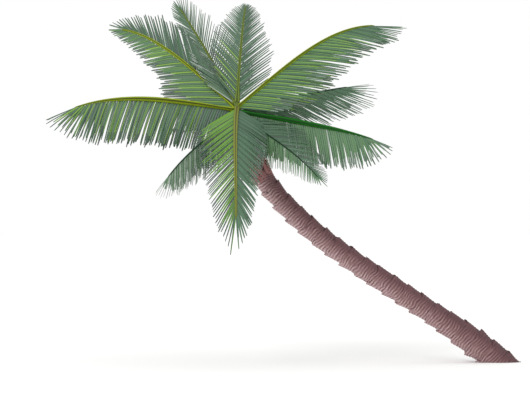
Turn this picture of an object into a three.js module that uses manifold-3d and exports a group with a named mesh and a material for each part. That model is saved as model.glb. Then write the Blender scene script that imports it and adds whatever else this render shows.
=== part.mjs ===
// A coconut palm that leans out and turns up towards its crown: one ringed trunk, cut flat
// at ground level, and thirteen arching feather fronds that leave its top on all sides.
// Millimetres, +Z up. The origin is the middle of the flat cut, and the trunk leans to -X.
import * as THREE from 'three';
import { mergeVertices } from 'three/addons/utils/BufferGeometryUtils.js';
import Module from 'manifold-3d';

const wasm = await Module();
wasm.setup();

// The trunk: its pitch goes from `rise` at the ground to `fall` at the tip. `settle` is the
// even part of that change, and the rest comes with the power `curve`.
const TRUNK = { heading: 180, rise: 38.2, settle: -24, fall: 90, curve: 3, length: 8846 };
const TRUNK_SIDES = 16;
const FOOT_RADIUS = 262;
const NECK_RADIUS = 235;
const FLARE = 65;
const FLARE_HEIGHT = 500;
const FLARE_REACH = 900;
const BURIED = 780;

// Leaf scars ring the trunk as stacked cups: each swells to a ragged lip and steps in again.
const CUP = 390;
const CUP_ROWS = [[0, 0.93], [0.5, 1.0], [0.95, 1.07]];
const LIP_FROM = 0.4;
const LIP_TO = 0.9;
const LIP_RAGGED = 0.04;
const LIP_TILT = 24;

// Waves in a lip's outline: the height, the number round the trunk and the turn for each cup.
const LIP_WAVES = [[0.6, 2, 2.4], [0.4, 5, -1.7]];

// The crown's heart: the last stretch, where the trunk narrows between the frond stems.
const HEART = [[-430, 220], [-220, 182], [-70, 135], [0, 90]];

// Fronds. `seat` is how far below the tip the stem leaves the trunk's middle line, and
// `heading` its compass seen from above, 0 along +X and 90 along +Y. `rise` and `fall` are
// its pitch at the trunk and at the tip. `roll` and `twist` turn the blade round the rib,
// `hang` tips the leaflets up or down from it, `droop` bends them down, and `leaf`, `fade`,
// `spread` and `close` give their length, how it falls off towards the tip, how wide they
// stand and how they close towards the tip. By `uneven` and `skew` the leaflets on the rib's
// left are longer and stand wider than those on its right.
const PLAIN = {
  sweep: 0, settle: 0, roll: 0, twist: 0, fade: 0, uneven: 0, spread: 1, close: 16, skew: 0,
};
const FRONDS = [
  { name: 'left', seat: 230, heading: 198, sweep: 5, rise: 8, fall: -19, curve: 2.4,
    length: 3950, hang: -76, droop: 0.45, leaf: 0.92, fade: -0.08, spread: 1.16, skew: -4 },
  { name: 'upper_left', seat: 210, heading: 147, sweep: -11, rise: 37, fall: 7, curve: 2.7,
    length: 4150, roll: -50, twist: -15, hang: 6, droop: 0.1, leaf: 1.3, fade: 0.7,
    uneven: -0.1, spread: 0.74 },
  { name: 'back_left', seat: 136, heading: 126, sweep: -3, rise: 47, fall: 40, curve: 1.6,
    length: 3450, roll: -15, twist: -10, hang: 5, droop: 0.1, leaf: 1.05, fade: 0.5, spread: 0.5 },
  { name: 'top', seat: 20, heading: 82, sweep: 5, rise: 70, fall: 24, curve: 1.25, length: 3150,
    hang: 8, droop: 0.1, leaf: 1.06, fade: 0.7, spread: 0.74, close: 30 },
  { name: 'upper_right', seat: 160, heading: 354, sweep: -8, rise: 40, fall: -4, curve: 3.1,
    length: 3760, hang: -48, droop: 0.12, leaf: 1.42, fade: 0.34, spread: 0.79 },
  { name: 'back_right', seat: 185, heading: 28, sweep: 6, rise: 12, fall: 6, curve: 1.4,
    length: 3050, hang: -60, droop: 0.1, leaf: 1.12, fade: 0.1, spread: 0.6, skew: -4 },
  { name: 'right', seat: 255, heading: 327, sweep: -3, rise: -9, fall: -18, curve: 3,
    length: 3750, hang: -78, droop: 0.5, leaf: 0.86, fade: 0.15, spread: 1.2, skew: 8 },
  { name: 'lower_right', seat: 370, heading: 300, sweep: 7, rise: -19, fall: -36, curve: 2.4,
    length: 3500, roll: 50, hang: -26, droop: 0.1, leaf: 1.05, fade: 0.7, uneven: 0.3,
    spread: 0.8, skew: -10 },
  { name: 'front', seat: 160, heading: 268, sweep: 5, rise: -15, fall: -74, curve: 1.4,
    length: 4200, hang: -18, droop: 0.15, leaf: 1.03, fade: 0.28, uneven: -0.04, spread: 0.86,
    close: 22 },
  { name: 'lower_left', seat: 370, heading: 241, sweep: -2, rise: -20, fall: -36, curve: 2.1,
    length: 3380, hang: -76, droop: 0.8, leaf: 0.78, fade: 0.22, spread: 1.1, skew: -14 },
  { name: 'back_low_left', seat: 320, heading: 112, rise: 14, fall: -22, curve: 1.5,
    length: 3700, hang: -20, droop: 1.5, leaf: 0.75 },
  { name: 'back_low', seat: 430, heading: 86, rise: 8, fall: -30, curve: 1.5,
    length: 3700, hang: -20, droop: 1.5, leaf: 0.75 },
  { name: 'back_low_right', seat: 340, heading: 60, rise: 2, fall: -33, curve: 1.5,
    length: 3700, hang: -20, droop: 1.5, leaf: 0.75 },
];
const SPLIT_TURN = 45;

// Ribs are four-sided and taper from the stem to the tip.
const RIB_SIDES = 4;
const RIB_STEPS = 10;
const STEM_HALF_WIDTH = 56;
const TIP_HALF_WIDTH = 15;
const RIB_TAPER = 0.6;

// Leaflets are three-sided folded blades, widest half way out, and `BARE` is the share of a
// rib that has none. The pair's place wanders by a share of the spacing.
const LEAFLETS = 21;
const BARE = 0.05;
const WANDER = 0.3;
const LEAF_LENGTH = 1200;
const LEAF_HALF_WIDTH = 62;
const LEAF_HALF_DEPTH = 11;
const LEAF_STEPS = 2;
const LEAF_WIDTHS = [0.3, 1, 0];
const LEAF_SPLAY = 62;
const LEAF_TIP_SPLAY = 2;
const SHORTER = [1, 0.85, 0.7, 0.55, 0.4, 0.28];

// Leaflets reach their full length at a quarter of the rib. The even losses of length and
// splay go with the square of the distance, and the losses at the very tip with `END_POWER`.
const STEM_SHARE = 0.7;
const FULL_FROM = 0.25;
const EVEN_LOSS = 0.12;
const END_LOSS = 0.28;
const END_POWER = 14;
const END_EASE = 0.85;
const EASE_POWER = 12;

const STEM_GAP = 0.4;
const LEAF_GAP = 4;
const BARK = new THREE.Color(0x896b6b);
const LEAF = new THREE.Color(0x5f8058);
const RIB_LEAF = new THREE.Color(0x7a8c3c);
const RAISED_TINT = 0.4;
const BARK_ROUGHNESS = 0.9;
const LEAF_ROUGHNESS = 0.6;

const ARCH_STEPS = 60;
const degrees = THREE.MathUtils.degToRad;
const mix = THREE.MathUtils.lerp;

// A number from 0 to 1 that looks random and is the same on every run.
function chance(seed) {
  const wave = Math.sin(seed * 12.9898) * 43758.5453;
  return wave - Math.floor(wave);
}

// A limb's middle line, which turns in pitch and heading as it goes.
class Arch extends THREE.Curve {
  constructor(shape, start) {
    super();
    Object.assign(this, PLAIN, shape);
    this.points = [start.clone()];
    for (let i = 0; i < ARCH_STEPS; i++) {
      const step = this.along((i + 0.5) / ARCH_STEPS).multiplyScalar(this.length / ARCH_STEPS);
      this.points.push(this.points[i].clone().add(step));
    }
  }

  headingAt(s) {
    return degrees(this.heading + this.sweep * s);
  }

  along(s) {
    const bend = (this.fall - this.rise - this.settle) * Math.max(s, 0) ** this.curve;
    const pitch = degrees(this.rise + this.settle * Math.max(s, 0) + bend);
    const level = Math.cos(pitch);
    const heading = this.headingAt(s);
    return new THREE.Vector3(Math.cos(heading) * level, Math.sin(heading) * level, Math.sin(pitch));
  }

  getPoint(s) {
    if (s < 0) return this.points[0].clone().addScaledVector(this.along(0), s * this.length);
    const step = Math.min(Math.floor(s * ARCH_STEPS), ARCH_STEPS - 1);
    return this.points[step].clone().lerp(this.points[step + 1], s * ARCH_STEPS - step);
  }

  // The limb's left-hand side and its upper face, rolled round the middle line.
  frame(s) {
    const heading = this.headingAt(s);
    const along = this.along(s);
    const left = new THREE.Vector3(-Math.sin(heading), Math.cos(heading), 0);
    const up = along.clone().cross(left);
    const roll = degrees(this.roll + this.twist * s);
    return {
      centre: this.getPoint(s),
      along,
      left: left.clone().multiplyScalar(Math.cos(roll)).addScaledVector(up, Math.sin(roll)),
      up: up.clone().multiplyScalar(Math.cos(roll)).addScaledVector(left, -Math.sin(roll)),
    };
  }
}

// Turns a closed geometry into a solid, without the flat triangles at a pole.
function solid(geometry) {
  geometry.deleteAttribute('normal');
  geometry.deleteAttribute('uv');
  const merged = mergeVertices(geometry, 0.001);
  const corners = merged.index.array;
  const kept = [];
  for (let i = 0; i < corners.length; i += 3) {
    const [a, b, c] = corners.subarray(i, i + 3);
    if (a !== b && b !== c && c !== a) kept.push(a, b, c);
  }
  return new wasm.Manifold(new wasm.Mesh({
    numProp: 3,
    vertProperties: new Float32Array(merged.attributes.position.array),
    triVerts: new Uint32Array(kept),
  }));
}

// The largest body of a solid: a loose scrap is dropped.
function largest(body) {
  return body.decompose().reduce((best, piece) => (piece.volume() > best.volume() ? piece : best));
}

// Moves a geometry that stands round the Y axis on to a limb: `place` gives the centre, the
// two cross directions and the half width and half depth for each height and angle.
function lay(geometry, place) {
  const position = geometry.attributes.position;
  for (let i = 0; i < position.count; i++) {
    const angle = Math.atan2(position.getZ(i), position.getX(i));
    const { centre, side, face, width, depth } = place(position.getY(i), angle);
    const point = centre.clone()
      .addScaledVector(side, position.getX(i) * width)
      .addScaledVector(face, position.getZ(i) * depth);
    position.setXYZ(i, point.x, point.y, point.z);
  }
  return solid(geometry);
}

function trunkRadius(distance) {
  const taper = mix(FOOT_RADIUS, NECK_RADIUS, distance / TRUNK.length);
  return taper + FLARE * Math.exp(-(((distance - FLARE_HEIGHT) / FLARE_REACH) ** 2));
}

// The ragged outline of a lip, from -1 to 1 round the trunk.
function ragged(angle, cup) {
  return LIP_WAVES.reduce((sum, [height, count, turn]) => (
    sum + height * Math.sin(count * angle + turn * cup)), 0);
}

// The trunk's outline as [distance along it, radius], from under the ground to the tip.
function trunkOutline() {
  const outline = [];
  const heart = TRUNK.length + HEART[0][0];
  for (let cup = 0; cup * CUP - BURIED < heart; cup++) {
    for (const [part, swell] of CUP_ROWS) {
      const distance = (cup + part) * CUP - BURIED;
      if (distance < heart) outline.push([distance, trunkRadius(distance) * swell]);
    }
  }
  for (const [below, radius] of HEART) outline.push([TRUNK.length + below, radius]);
  return outline;
}

// The trunk, or with a gap the space that the stems leave free round it.
function trunkSolid(arch, gap) {
  const outline = trunkOutline();
  const profile = [new THREE.Vector2(0, outline[0][0])];
  for (const [distance, radius] of outline) profile.push(new THREE.Vector2(radius + gap, distance));
  profile.push(new THREE.Vector2(0, TRUNK.length + gap));
  const shape = new THREE.LatheGeometry(profile, TRUNK_SIDES);
  const heart = TRUNK.length + HEART[0][0];
  const body = lay(shape, (distance, angle) => {
    const cup = (distance + BURIED) / CUP;
    const lip = distance < heart ? THREE.MathUtils.smoothstep(cup % 1, LIP_FROM, LIP_TO) : 0;
    const wave = lip * ragged(angle, Math.floor(cup));
    const { along, left, up } = arch.frame(distance / TRUNK.length);
    const centre = arch.getPoint(distance / TRUNK.length).addScaledVector(along, wave * LIP_TILT);
    const width = 1 + LIP_RAGGED * wave;
    return { centre, side: left.negate(), face: up, width, depth: width };
  });
  return largest(body.trimByPlane([0, 0, 1], 0));
}

function ribHalfWidth(s) {
  return mix(TIP_HALF_WIDTH, STEM_HALF_WIDTH, (1 - s) ** RIB_TAPER);
}

// The stretch of a rib from one share of its length to another.
function ribSolid(arch, from, to) {
  const steps = Math.max(2, Math.round((to - from) * RIB_STEPS));
  return lay(new THREE.CylinderGeometry(1, 1, 1, RIB_SIDES, steps), (height) => {
    const s = mix(from, to, height + 0.5);
    const { centre, left, up } = arch.frame(s);
    return { centre, side: left.negate(), face: up, width: ribHalfWidth(s), depth: ribHalfWidth(s) };
  });
}

// A leaflet's length, relative to the longest: shorter at the stem and at the tip.
function leafShare(s) {
  const grown = Math.sin(Math.PI / 2 * Math.min(s / FULL_FROM, 1));
  return mix(STEM_SHARE, 1, grown) - EVEN_LOSS * s ** 2 - END_LOSS * s ** END_POWER;
}

// The directions of a leaflet at a share s of the rib, on side 1 or -1.
function leafDirections(arch, s, side) {
  const { centre, along, left, up } = arch.frame(s);
  const last = LEAF_SPLAY - LEAF_TIP_SPLAY - arch.close;
  const even = (LEAF_SPLAY - arch.close * s ** 2 - last * s ** END_POWER) * arch.spread;
  const splay = degrees(even + side * arch.skew * (1 - s ** END_POWER));
  const ease = 1 - END_EASE * s ** EASE_POWER;
  const hang = degrees(arch.hang * ease);
  const out = along.clone().multiplyScalar(Math.cos(splay))
    .addScaledVector(left, Math.sin(splay) * side * Math.cos(hang))
    .addScaledVector(up, Math.sin(splay) * Math.sin(hang));
  return { centre, along, out, droop: arch.droop * ease };
}

function leafSolid(arch, s, side, share) {
  const { centre, along, out, droop } = leafDirections(arch, s, side);
  const reach = arch.leaf * leafShare(s) * (1 - arch.fade * s) * (1 + side * arch.uneven);
  const step = LEAF_LENGTH * reach * share / LEAF_STEPS;
  const points = [centre];
  const ways = [];
  for (let i = 0; i < LEAF_STEPS; i++) {
    const way = out.clone();
    way.z -= droop * (i + 0.5) / LEAF_STEPS;
    ways.push(way.normalize());
    points.push(points[i].clone().addScaledVector(way, step));
  }
  return lay(new THREE.CylinderGeometry(0, 1, 1, 3, LEAF_STEPS), (height) => {
    const row = Math.round((height + 0.5) * LEAF_STEPS);
    const way = ways[Math.min(row, LEAF_STEPS - 1)];
    const across = along.clone().addScaledVector(way, -along.dot(way)).normalize().multiplyScalar(side);
    const widen = row === LEAF_STEPS ? 1 : LEAF_WIDTHS[row] / (1 - row / LEAF_STEPS);
    return {
      centre: points[row],
      side: across,
      face: across.clone().cross(way),
      width: LEAF_HALF_WIDTH * widen,
      depth: LEAF_HALF_DEPTH * widen,
    };
  });
}

// A limb of the crown: its rib and the leaflets whose roots stand on its stretch of the rib.
function limb(name, arch, from, to, trunkSpace) {
  const rib = ribSolid(arch, from, to).subtract(trunkSpace);
  return { name, arch, from, to, pieces: [rib] };
}

// One limb for a frond, or two that meet at the bend where it turns round a wide gap.
function limbsOf(frond, trunkArch, trunkSpace) {
  const arch = new Arch(frond, trunkArch.getPoint(1 - frond.seat / TRUNK.length));
  const name = `frond_${frond.name}`;
  if (Math.abs(frond.fall - frond.rise) < SPLIT_TURN) return [limb(name, arch, 0, 1, trunkSpace)];
  const bend = 0.5 ** (1 / frond.curve);
  const gap = STEM_GAP / frond.length;
  return [
    limb(`${name}_inner`, arch, 0, bend, trunkSpace),
    limb(`${name}_outer`, arch, bend + gap, 1, trunkSpace),
  ];
}

function boxesMeet(a, b) {
  return [0, 1, 2].every((i) => a.min[i] - LEAF_GAP < b.max[i] && b.min[i] - LEAF_GAP < a.max[i]);
}

// True when a leaflet stays clear of the trunk and of every other limb.
function isClear(leaf, owner, limbs, trunk) {
  const box = leaf.boundingBox();
  if (leaf.minGap(trunk, LEAF_GAP * 2) < LEAF_GAP) return false;
  return limbs.every((other) => other === owner || other.pieces.every((piece) => (
    !boxesMeet(box, piece.boundingBox()) || leaf.minGap(piece, LEAF_GAP * 2) >= LEAF_GAP)));
}

// Adds the leaflets at one place of every rib, each as long as its own space allows.
function growLeaflets(row, limbs, trunk) {
  for (const [index, owner] of limbs.entries()) {
    for (const side of [1, -1]) {
      const jitter = chance(1 + row * 7 + side * 3 + index * 31) - 0.5;
      const s = BARE + (1 - BARE) * (row + 0.5 + WANDER * jitter) / LEAFLETS;
      if (s < owner.from || s > owner.to) continue;
      const share = SHORTER.find((part) => (
        isClear(leafSolid(owner.arch, s, side, part), owner, limbs, trunk)));
      if (share) owner.pieces.push(leafSolid(owner.arch, s, side, share));
    }
  }
}

function mesh(name, body, color, roughness) {
  const { vertProperties, triVerts } = body.getMesh();
  const geometry = new THREE.BufferGeometry();
  geometry.setAttribute('position', new THREE.BufferAttribute(vertProperties, 3));
  geometry.setIndex(new THREE.BufferAttribute(triVerts, 1));
  geometry.computeVertexNormals();
  const material = new THREE.MeshStandardMaterial({ color, roughness, metalness: 0, flatShading: true });
  const result = new THREE.Mesh(geometry, material);
  result.name = name;
  return result;
}

function buildPalm() {
  const trunkArch = new Arch(TRUNK, new THREE.Vector3());
  const trunk = trunkSolid(trunkArch, 0);
  const trunkSpace = trunkSolid(trunkArch, STEM_GAP);
  const limbs = FRONDS.flatMap((frond) => limbsOf(frond, trunkArch, trunkSpace));
  for (let row = 0; row < LEAFLETS; row++) growLeaflets(row, limbs, trunk);

  const palm = new THREE.Group();
  palm.add(mesh('trunk', trunk, BARK, BARK_ROUGHNESS));
  const crown = new THREE.Group();
  for (const { name, arch, pieces } of limbs) {
    const color = LEAF.clone().lerp(RIB_LEAF, arch.rise > 0 ? RAISED_TINT : 0);
    crown.add(mesh(name, largest(wasm.Manifold.union(pieces)), color, LEAF_ROUGHNESS));
  }
  palm.add(crown);
  return palm;
}

export default buildPalm();
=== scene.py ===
"""A coconut palm that leans out and turns up towards its crown, dressed for a close look.

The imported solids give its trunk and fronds. Here the trunk gets its bark, and each frond a
grooved rib and about a hundred folded leaflets, grown by the same rule as the solids.
Metres, +Z up. The trunk leans to -X, and -Y is the side that faces the camera.
"""

from collections import namedtuple
from math import cos, exp, floor, pi, radians, sin
from random import Random

import bmesh
import bpy
import numpy as np
from bpy.props import FloatProperty, FloatVectorProperty, IntProperty, PointerProperty
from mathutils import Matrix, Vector, noise


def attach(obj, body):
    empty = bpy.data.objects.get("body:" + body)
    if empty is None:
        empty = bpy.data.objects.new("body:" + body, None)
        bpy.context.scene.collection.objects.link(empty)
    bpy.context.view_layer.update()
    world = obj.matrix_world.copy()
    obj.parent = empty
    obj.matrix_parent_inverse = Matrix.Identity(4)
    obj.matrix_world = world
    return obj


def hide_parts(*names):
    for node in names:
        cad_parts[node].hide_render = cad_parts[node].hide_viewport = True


bl_info = {
    "name": "Coconut palm",
    "version": (1, 0, 0),
    "blender": (4, 5, 0),
    "location": "3D View > Sidebar > Palm",
    "description": "Builds a leaning coconut palm over its packed solids",
    "category": "Add Mesh",
}

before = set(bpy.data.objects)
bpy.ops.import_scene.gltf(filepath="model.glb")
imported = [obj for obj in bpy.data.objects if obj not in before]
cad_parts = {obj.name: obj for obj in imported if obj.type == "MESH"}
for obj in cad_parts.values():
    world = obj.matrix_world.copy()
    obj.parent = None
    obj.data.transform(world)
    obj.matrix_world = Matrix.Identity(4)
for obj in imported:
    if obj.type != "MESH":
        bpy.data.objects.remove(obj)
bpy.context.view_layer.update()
BODY = "root"
BARK_SLOT = "bark"
LEAF_SLOT = "leaf"

# The trunk's middle line: its pitch goes from `rise` to `fall`, `settle` being the even part.
TRUNK = dict(heading=180, rise=38.2, settle=-24, fall=90, curve=3, length=8.846)
# How far the bark runs on below the ground, before the flat cut takes it off.
BURIED = 0.78
# The crown's heart, where the trunk narrows between the stems: height from its tip, and radius.
HEART = ((-0.43, 0.21), (-0.22, 0.1), (-0.05, 0.045), (0.0, 0.02))
# The share of the trunk's rows that lie in the cups of its bark, the rest being in the heart,
# and the share of the heart in which the bark swells out to it.
BARK_SHARE = 0.96
HEART_BLEND = 0.2

# One cup of the bark, as shares of its height: it swells, turns over its lip and steps in.
SWELL_END = 0.86
SWELL_POWER = 1.3
LIP_END = 0.92
LIP_EDGE = 0.4
# Waves in a lip's outline: the height, the number round the trunk and the turn for each cup.
# They set in on the way up the cup.
LIP_WAVES = ((0.6, 2, 2.4), (0.4, 5, -1.7))
WAVE_FROM = 0.4
WAVE_TO = 0.9
# A lip stands out most on the trunk's lower side, less on its upper one and least on the
# flanks, varies by chance, and dies away where the upper side meets the ground.
LIP_BOLD = 1.1
LIP_UPPER_LOSS = 0.3
LIP_SIDE_POWER = 1.5
LIP_FLANK = 0.2
LIP_EVEN = 0.8
LIP_LEAST = 0.08
LIP_NOISE = 1.7
LIP_NOISE_STEP = 3.7
LIP_GROUND_FROM = -0.5
LIP_GROUND_TO = -0.2

# Random patterns on the trunk: how fast each changes round and along it, its shift away from
# the others, and its strength. The fine ridges bend, wander, come and go, and have grit on them.
# Their slant sets in from one flank to the other.
Pattern = namedtuple("Pattern", "around along shift strength")
BEND = Pattern(1.6, 3.1, (0, 0), 0.7)
WANDER = Pattern(3.4, 7.3, (9, 4), 0.2)
FORCE = Pattern(2.1, 11, (3, 8), 0.9)
GRIT = Pattern(6, 40, (0, 0), 0.3)
EVEN_FORCE = 0.65
SLANT_EASE = 0.4

# The bark's tone, 0 light and 1 dark. A place's `upper` is 1 on the trunk's upper side and -1 on
# its lower one: each ramp takes two such places to the tone, or to how much the ridges change it.
# The first ramp paints light on the lower side and shade on the upper side. By the second, the
# ridges get painted light on their crests and painted shade in their grooves. Strokes and patches
# change it too, and it pales with each metre along the trunk.
# The scales say how close these patterns are, across the trunk both ways and along it.
SHADE_RAMP = (-0.9, 0.6, 0.2, 0.82)
# By this ramp the ridges' crests get painted light and their grooves painted shade, most on the
# lower side and the flanks.
RIDGE_SHADE_RAMP = (0.6, 0.1, 0.08, 0.31)
STROKE_SCALE = (2.2, 2.2, 19.0)
PATCH_SCALE = (1.1, 1.1, 2.3)
HAIR_SCALE = (14.0, 14.0, 90.0)
STROKE_DETAIL = 3.0
STROKE_TONE = 0.3
PATCH_TONE = 0.2
FOOT_TONE = 0.075
PALING = 0.018
TONE_STOPS = (0.0, 0.45, 0.8, 1.0)
# Where along the trunk the bark turns green, and how far that wanders.
GREEN_RAMP = (8.1, 8.3, 0.0, 1.0)
GREEN_WANDER = 0.5
# How close the patterns of ribs, leaflets and fibres are, and how much darker or lighter than
# their own colour leaflets and fibres get in places.
STREAK_SCALE = (40.0, 9.0, 1.0)
VEIN_SCALE = (26.0, 1.2, 1.0)
LEAF_PATCH_SCALE = (2.6, 2.6, 2.6)
FIBRE_PATCH_SCALE = (6.0, 6.0, 6.0)
LEAF_DARK = 0.72
LEAF_LIGHT = 1.22
FIBRE_DARK = 0.7
# A rib has four light faces and four corners in painted shade, which is this many turns of a wave.
CORNERS = 4

# Fronds. `seat` is how far below the tip the stem leaves the trunk's middle line, and
# `heading` its compass seen from above, 0 along +X and 90 along +Y. `rise` and `fall` are
# its pitch at the trunk and at the tip, `curve` how late it bends, and `sweep` how far it
# turns aside. `roll` and `twist` turn the blade round the rib, `hang` tips the leaflets up or
# down from it, and `droop` bends them down.
# `leaf`, `fade`, `spread` and `close` give the leaflets' length, how it falls off towards the
# tip, how wide they stand and how they close towards the tip. By `uneven` and `skew` those on
# the rib's left are longer and stand wider than those on its right. By `stem` those near the
# trunk stand wider, and by `root` they are longer, on the left and on the right, and by `fan`
# those at the rib's end are longer.
# `bare` is the share of the rib that has none, `pairs` their number on a side, `blade` their
# width, `taper` how much of it is lost towards their tips, `gather` how far they lean together
# in groups and `stagger` how far, in spacings, one side is ahead of the other. `rib` and
# `belly` are the rib's thickness and how it swells half way, `finish` is its material, and
# `tones` are the leaflets' colours on its left and right side.
PLAIN = dict(
    sweep=0, settle=0, roll=0, twist=0, spread=1, close=16, fade=0, uneven=0, skew=0,
    stem=(0, 0), root=(0, 0), fan=0, bare=0.03, pairs=64, blade=1, taper=0, gather=0.6,
    stagger=0.5, rib=1, belly=0, finish="olive", tones=("dull", "dull"))
BEHIND = dict(curve=1.5, length=3.7, hang=-20, droop=1.5, leaf=0.75, rib=0.7)
FRONDS = {
    "left": dict(
        seat=0.23, heading=198, sweep=5, rise=8, fall=-19, curve=2.4, length=3.95,
        hang=-76, droop=0.45, leaf=0.9, fade=-0.06, fan=0.1, spread=1.2, skew=-4,
        pairs=66, blade=1.3, taper=0.3, stagger=0, rib=0.6, belly=1.8,
        tones=("striped", "striped")),
    "upper_left": dict(
        seat=0.21, heading=147, sweep=-11, rise=37, fall=7, curve=2.7, length=4.15,
        roll=-50, twist=-15, hang=6, droop=0.1, leaf=1.24, fade=0.7, uneven=-0.15, skew=4,
        stem=(-8, -26), root=(0.45, 0), fan=0.9, spread=0.74, pairs=50, blade=1.45,
        taper=0.45, rib=0.9, tones=("misty_lime", "misty")),
    "back_left": dict(
        seat=0.136, heading=126, sweep=-3, rise=47, fall=40, curve=1.6, length=3.45,
        roll=-15, twist=-10, hang=5, droop=0.1, leaf=1.05, fade=0.5, uneven=-0.2,
        stem=(0, 14), spread=0.5, pairs=40, taper=0.6, gather=0.5, rib=0.7,
        finish="moss", tones=("misty", "misty")),
    "top": dict(
        seat=0.02, heading=82, sweep=5, rise=70, fall=24, curve=1.25, length=3.15,
        hang=8, droop=0.1, leaf=1, fade=0.7, uneven=0.04, stem=(-6, 6), spread=0.74,
        close=30, bare=0.003, pairs=46, blade=1.15, taper=0.8, gather=0.7, rib=0.7,
        finish="moss", tones=("misty_root", "misty")),
    "upper_right": dict(
        seat=0.16, heading=354, sweep=-8, rise=40, fall=-2, curve=3.1, length=3.76,
        hang=-48, droop=0.12, leaf=1.42, fade=0.34, stem=(4, 4), spread=0.79,
        bare=0.004, pairs=60, blade=1.2, gather=0.9, belly=0.1,
        tones=("lime_root", "lime_root")),
    "back_right": dict(
        seat=0.185, heading=28, sweep=6, rise=12, fall=8.5, curve=1.4, length=3.05,
        hang=-60, droop=0.1, leaf=1.12, fade=0.1, spread=0.6, skew=-4, pairs=44,
        blade=1.05, taper=0.4, gather=0.5, rib=0.6, finish="pitch", tones=("pale", "teal")),
    "right": dict(
        seat=0.255, heading=327, sweep=-3, rise=-9, fall=-16, curve=3, length=3.75,
        hang=-78, droop=0.5, leaf=0.86, fade=0.15, spread=1.2, skew=8, pairs=60,
        blade=1.5, gather=0.7, stagger=0, rib=0.6, belly=1.7, finish="bottle",
        tones=("pale", "pale")),
    "lower_right": dict(
        seat=0.37, heading=300, sweep=7, rise=-19, fall=-36, curve=2.4, length=3.55,
        roll=50, hang=-26, droop=0.1, leaf=1.05, fade=0.7, uneven=0.16, spread=0.8,
        skew=-10, root=(0, 0.45), fan=0.4, pairs=50, taper=0.5, rib=0.4,
        finish="pitch", tones=("dark", "pale")),
    "front": dict(
        seat=0.16, heading=268, sweep=5, rise=-15, fall=-74, curve=1.4, length=4.2,
        hang=-18, droop=0.15, leaf=1.03, fade=0.42, uneven=-0.1, stem=(0, -5),
        root=(0, 0.2), fan=0.9, spread=0.88, close=24, pairs=58, blade=1.3, taper=0.3,
        finish="straw", tones=("teal", "spring")),
    "lower_left": dict(
        seat=0.37, heading=241, sweep=-2, rise=-20, fall=-36, curve=2.1, length=3.38,
        hang=-76, droop=0.8, leaf=0.78, fade=0.22, uneven=-0.12, spread=1.1, skew=-14,
        pairs=56, blade=1.2, gather=0.9, stagger=0, rib=0.5, finish="pitch",
        tones=("painted_light_tones", "painted_light_tones")),
    "back_low_left": dict(BEHIND, seat=0.32, heading=112, rise=14, fall=-22),
    "back_low": dict(BEHIND, seat=0.43, heading=86, rise=8, fall=-30),
    "back_low_right": dict(BEHIND, seat=0.34, heading=60, rise=2, fall=-33),
}
SPLIT_FRONDS = ("top", "front")

# Leaflet tones, dealt out in turn along a rib as the tones of a leaflet's two halves: near the
# rib, near it outside the bright stretch that `low` and `high` bound, and at its tip. Where a
# pair's two tones differ, one half is painted light and the other painted shade, as the two sides
# of the fold, and the darker halves also stand in for the shade between leaflets.
Tones = namedtuple("Tones", "near plain far low high")
TONES = {
    "striped": Tones(("lime teal", "mid slate", "fresh deep", "lime slate", "teal dull"),
                     ("teal slate", "dull teal", "mid slate"),
                     ("slate dusk", "teal deep", "deep dusk", "dull deep"), 0.2, 0.98),
    "lime_root": Tones(("lime teal", "fresh deep", "lime mid", "mid deep"),
                       ("mid teal", "teal deep", "fresh deep"),
                       ("mid teal", "mist teal", "dull slate"), 0.0, 0.8),
    "spring": Tones(("spring deep", "dusk dusk", "spring dusk", "fresh deep", "spring dusk",
                     "deep dusk", "spring deep"),
                    ("fresh dusk", "spring deep", "teal dusk"),
                    ("deep dusk", "dusk dusk", "slate dusk"), 0.0, 0.92),
    "misty_lime": Tones(("lime teal", "fresh deep", "mid deep", "lime deep", "mid teal"),
                        ("mid slate", "dull deep", "fresh teal"),
                        ("dull dusk", "dull dusk", "slate dusk"), 0.0, 0.75),
    "misty_root": Tones(("lime deep", "teal dusk", "fresh dusk", "teal deep"),
                        ("dull deep", "teal dusk", "teal deep"),
                        ("dull dusk", "dusk dusk", "teal slate"), 0.0, 0.35),
    "misty": Tones(("dull deep", "teal dusk", "mid slate", "teal deep"),
                   ("dull deep", "mist deep", "teal dusk"),
                   ("dull dusk", "teal dusk", "mist slate"), 0.0, 1.0),
    "teal": Tones(("mid teal", "teal deep", "dull teal"),
                  ("mid teal", "teal deep", "dull deep"),
                  ("teal deep", "dull slate", "mist teal"), 0.0, 1.0),
    "pale": Tones(("mid teal", "mid dull", "mid mid", "mid teal"),
                  ("mid teal", "teal deep", "mist dull"),
                  ("mist dull", "mist slate", "mist teal", "dull slate"), 0.0, 1.0),
    # Painted light: these lighter tones stand in for light on the lower left frond, which the
    # fronds above shade.
    "painted_light_tones": Tones(("mid dull", "mist teal", "mid mist", "mist dull"),
                   ("mid teal", "mist dull"),
                   ("mist dull", "mist mist", "mist slate"), 0.0, 1.0),
    "dark": Tones(("deep dusk", "teal deep", "mid teal", "mist deep"),
                  ("mid teal", "teal deep", "mid deep"),
                  ("deep dusk", "teal dusk", "mid teal"), 0.4, 0.9),
    "dull": Tones(("dull teal", "teal deep"), ("dull teal", "mid deep"),
                  ("dull slate", "teal deep"), 0.0, 1.0),
}
TONE_ORDER = ("lime", "spring", "fresh", "mid", "teal", "deep", "dull", "slate", "dusk",
              "mist")

# A rib, by shares of its length: it starts in the trunk, which it clasps, takes on its own
# thickness, thins towards its tip and ends in a point. It is less deep than wide, and has a
# groove along its upper face that dies away.
RIB_START = -0.01
RIB_SIDES = 16
RIB_ROWS = 110
CLASP = 0.15
CLASP_END = 0.07
THIN_FROM = 0.02
THIN_TO = 0.12
RIB_THINNING = 0.6
POINT_FROM = 0.985
POINT_SHARE = 0.1
RIB_DEPTH = 0.85
GROOVE = 0.22
GROOVE_POWER = 6
GROOVE_LOSS = 0.6

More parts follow.
